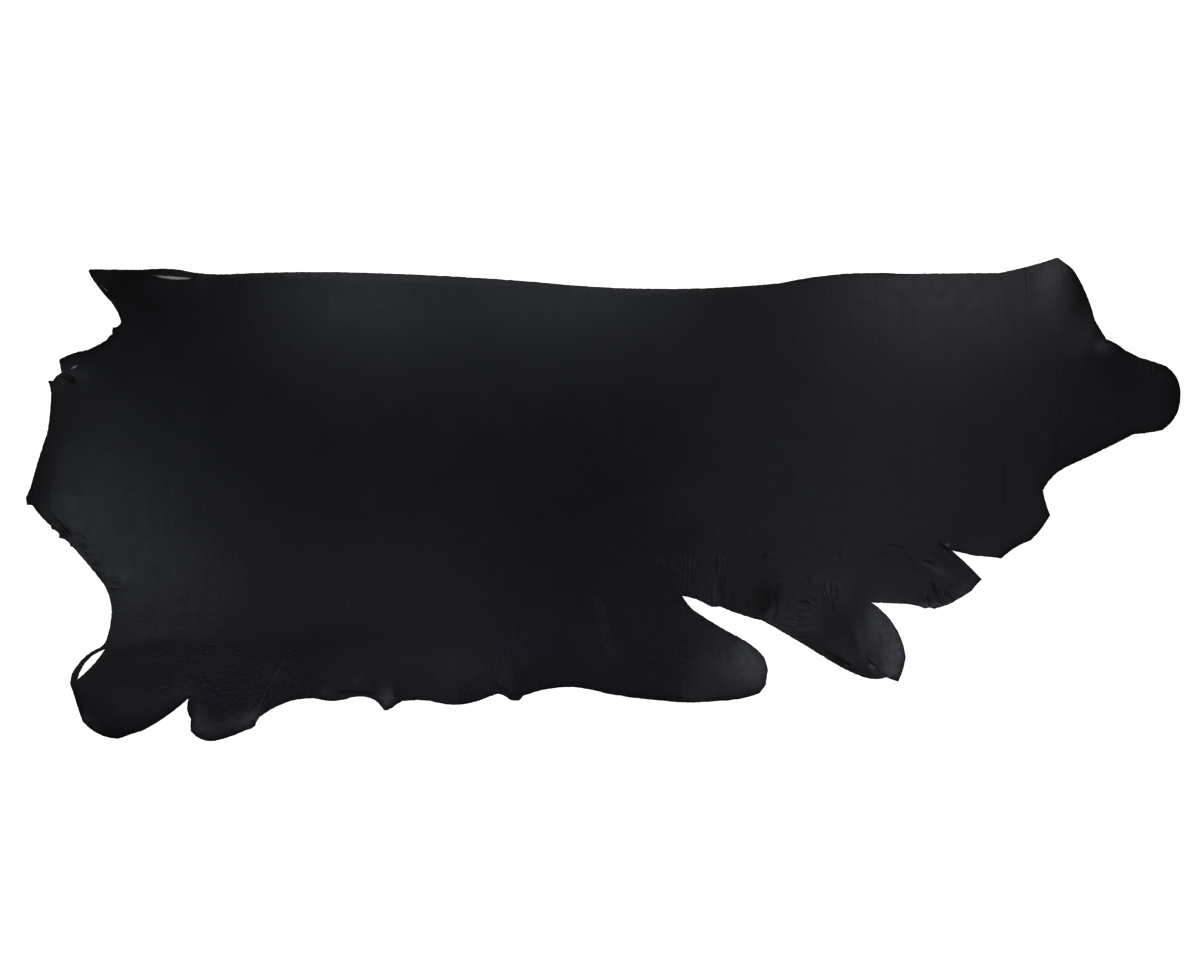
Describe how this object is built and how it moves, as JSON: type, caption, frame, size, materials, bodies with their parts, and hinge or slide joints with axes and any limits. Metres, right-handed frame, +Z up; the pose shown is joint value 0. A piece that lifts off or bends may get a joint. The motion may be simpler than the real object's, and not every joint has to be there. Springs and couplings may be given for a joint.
{
  "type": "leather side",
  "caption": "Black leather side: a hide split along the backbone, laid grain side up, with a straight back edge, lobed belly edge, shanks, flaps, slits and softly lifted corners.",
  "frame": {"origin": "on the surface that the hide lies on, under the middle of its box", "axes": "+X from the butt to the cheek along the backbone, +Y from the belly to the backbone, +Z up out of the grain side"},
  "size_m": [2.5984, 1.0876, 0.0201],
  "materials": {
    "leather": "black drum-dyed full grain with a low satin sheen, raw cut edges and a napped flesh side"
  },
  "bodies": {
    "root": {"leather_side": "leather"}
  },
  "joints": []
}
